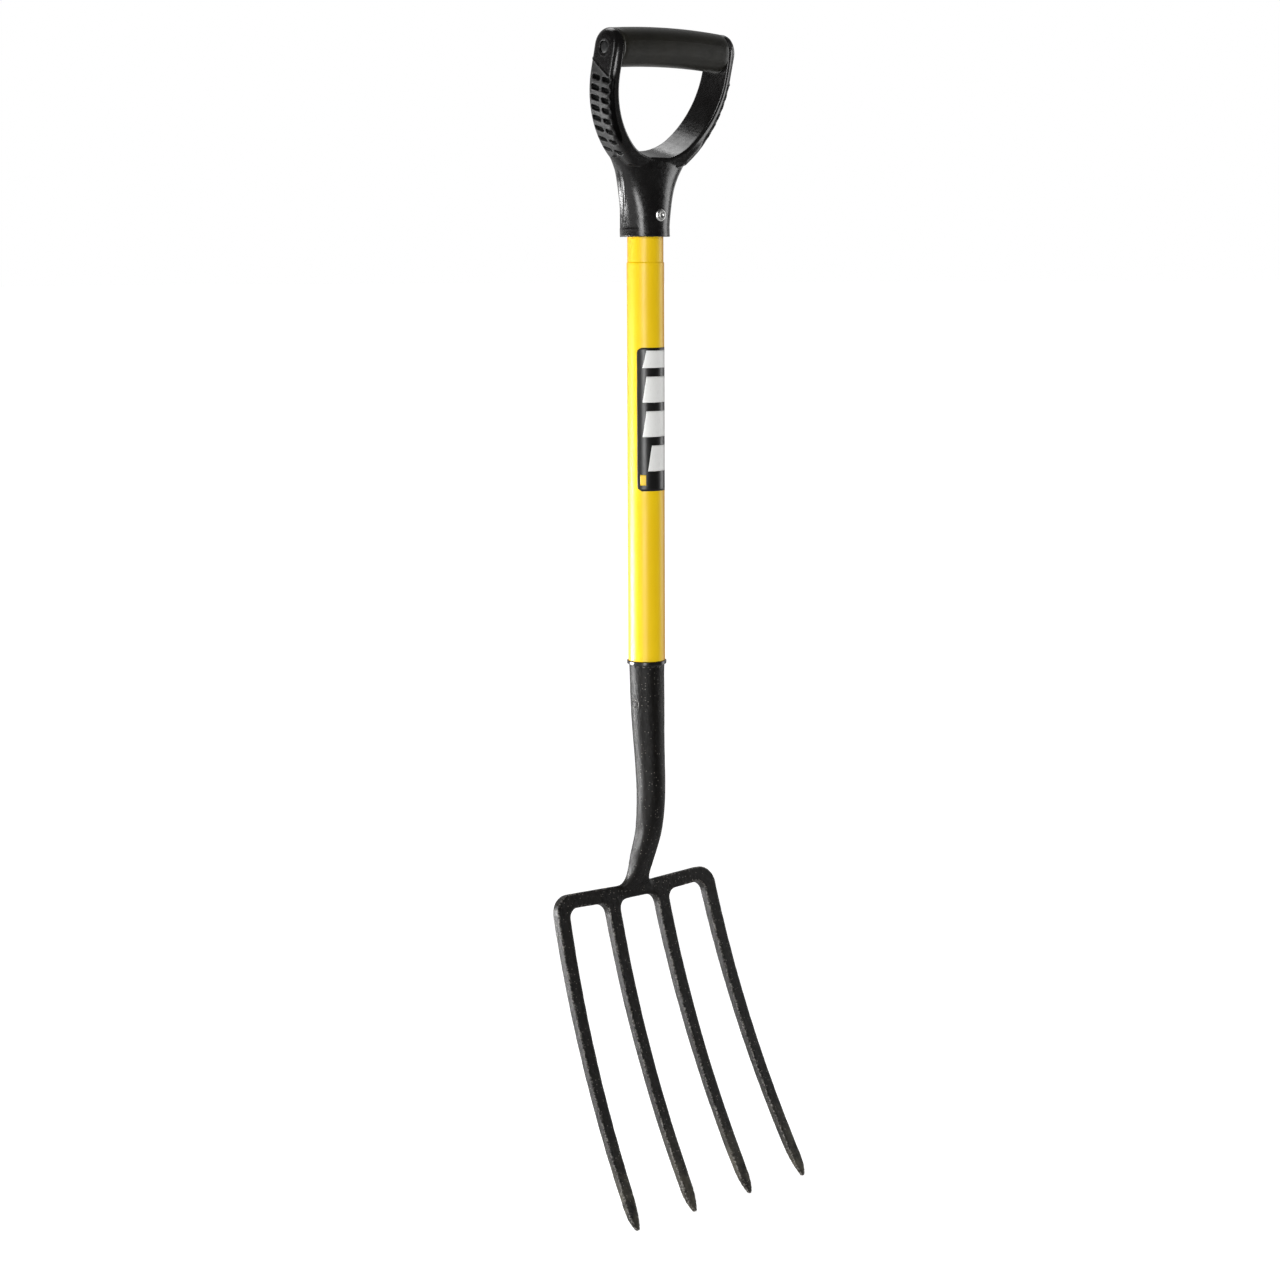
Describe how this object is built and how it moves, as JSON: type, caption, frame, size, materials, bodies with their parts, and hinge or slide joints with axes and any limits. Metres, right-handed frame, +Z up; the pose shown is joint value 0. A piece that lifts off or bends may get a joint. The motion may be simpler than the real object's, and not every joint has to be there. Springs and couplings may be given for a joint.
{
  "type": "digging fork",
  "caption": "Garden digging fork: forged tined head with a cranked socket, a sleeved tube shaft and a D handle that leans forward.",
  "frame": {"origin": "on the shaft axis, level with the tips of the tines, where the tool meets the ground when it stands upright", "axes": "+Z up along the shaft to the grip, +X along the crossbar, -Y to the front, the way the tines curve"},
  "size_m": [0.2004, 0.1246, 0.9982],
  "materials": {
    "head_coating": "satin",
    "collar_black": "gloss",
    "tube_steel": "satin",
    "sleeve_yellow": "satin",
    "label_film": "gloss",
    "plug_wood": "matte",
    "rivet_metal": "satin",
    "handle_black": "gloss",
    "grip_black": "satin",
    "core_black": "matte"
  },
  "bodies": {
    "root": {"fork_head": "head_coating", "socket_collar": "collar_black", "shaft_core": "tube_steel", "shaft_sleeve": "sleeve_yellow", "shaft_label": "label_film", "lower_plug": "plug_wood", "upper_plug": "plug_wood", "socket_rivet": "head_coating", "handle_rivet": "rivet_metal", "d_handle": "handle_black", "grip_tube": "grip_black", "grip_core": "core_black"}
  },
  "joints": []
}
